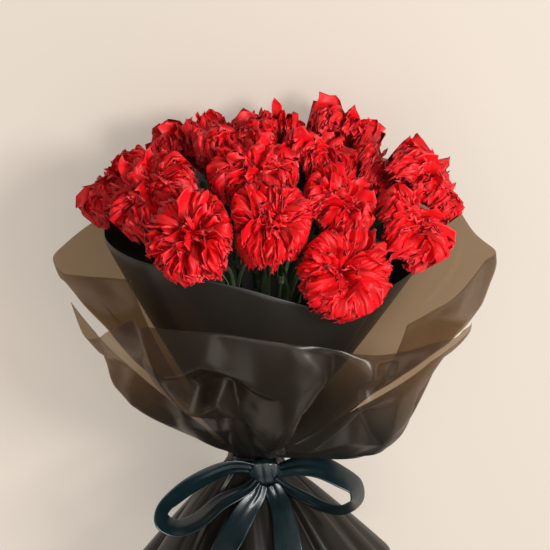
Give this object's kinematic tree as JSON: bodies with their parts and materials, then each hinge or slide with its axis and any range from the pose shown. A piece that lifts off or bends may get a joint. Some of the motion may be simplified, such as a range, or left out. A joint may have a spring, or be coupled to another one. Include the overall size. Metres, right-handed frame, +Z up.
{
  "type": "bunch of carnations",
  "caption": "Hand-tied bunch of red carnations in smoky film over a black collar, tied at the neck with a dark satin bow and laid on its back.",
  "frame": {"origin": "on the surface the bunch lies on, under the middle of its box", "axes": "+Z up from the surface, +Y along the stems towards the blooms, +X to the right when looking down with the blooms away from the viewer"},
  "size_m": [0.3812, 0.4324, 0.2752],
  "materials": {
    "petals": "matte",
    "stems": "satin",
    "leaves": "satin",
    "twine": "matte",
    "collar": "satin",
    "film": "satin",
    "ribbon": "satin"
  },
  "bodies": {
    "root": {"bloom_1": "petals", "bloom_2": "petals", "bloom_3": "petals", "bloom_4": "petals", "bloom_5": "petals", "bloom_6": "petals", "bloom_7": "petals", "bloom_8": "petals", "bloom_9": "petals", "bloom_10": "petals", "bloom_11": "petals", "bloom_12": "petals", "bloom_13": "petals", "bloom_14": "petals", "bloom_15": "petals", "stem_1": "stems", "stem_2": "stems", "stem_3": "stems", "stem_4": "stems", "stem_5": "stems", "stem_6": "stems", "stem_7": "stems", "stem_8": "stems", "stem_9": "stems", "stem_10": "stems", "stem_11": "stems", "stem_12": "stems", "stem_13": "stems", "stem_14": "stems", "stem_15": "stems", "leaf_pair_1": "leaves", "leaf_pair_2": "leaves", "leaf_pair_3": "leaves", "leaf_pair_4": "leaves", "leaf_pair_5": "leaves", "leaf_pair_6": "leaves", "leaf_pair_7": "leaves", "leaf_pair_8": "leaves", "leaf_pair_9": "leaves", "leaf_pair_10": "leaves", "leaf_pair_11": "leaves", "leaf_pair_12": "leaves", "leaf_pair_13": "leaves", "leaf_pair_14": "leaves", "leaf_pair_15": "leaves", "stem_binding": "twine", "wrap_inner_collar": "collar", "wrap_left": "film", "wrap_right": "film", "wrap_front": "film", "ribbon_band": "ribbon", "ribbon_knot": "ribbon", "ribbon_loop_left": "ribbon", "ribbon_loop_right": "ribbon", "ribbon_tail_left": "ribbon", "ribbon_tail_right": "ribbon"}
  },
  "joints": []
}
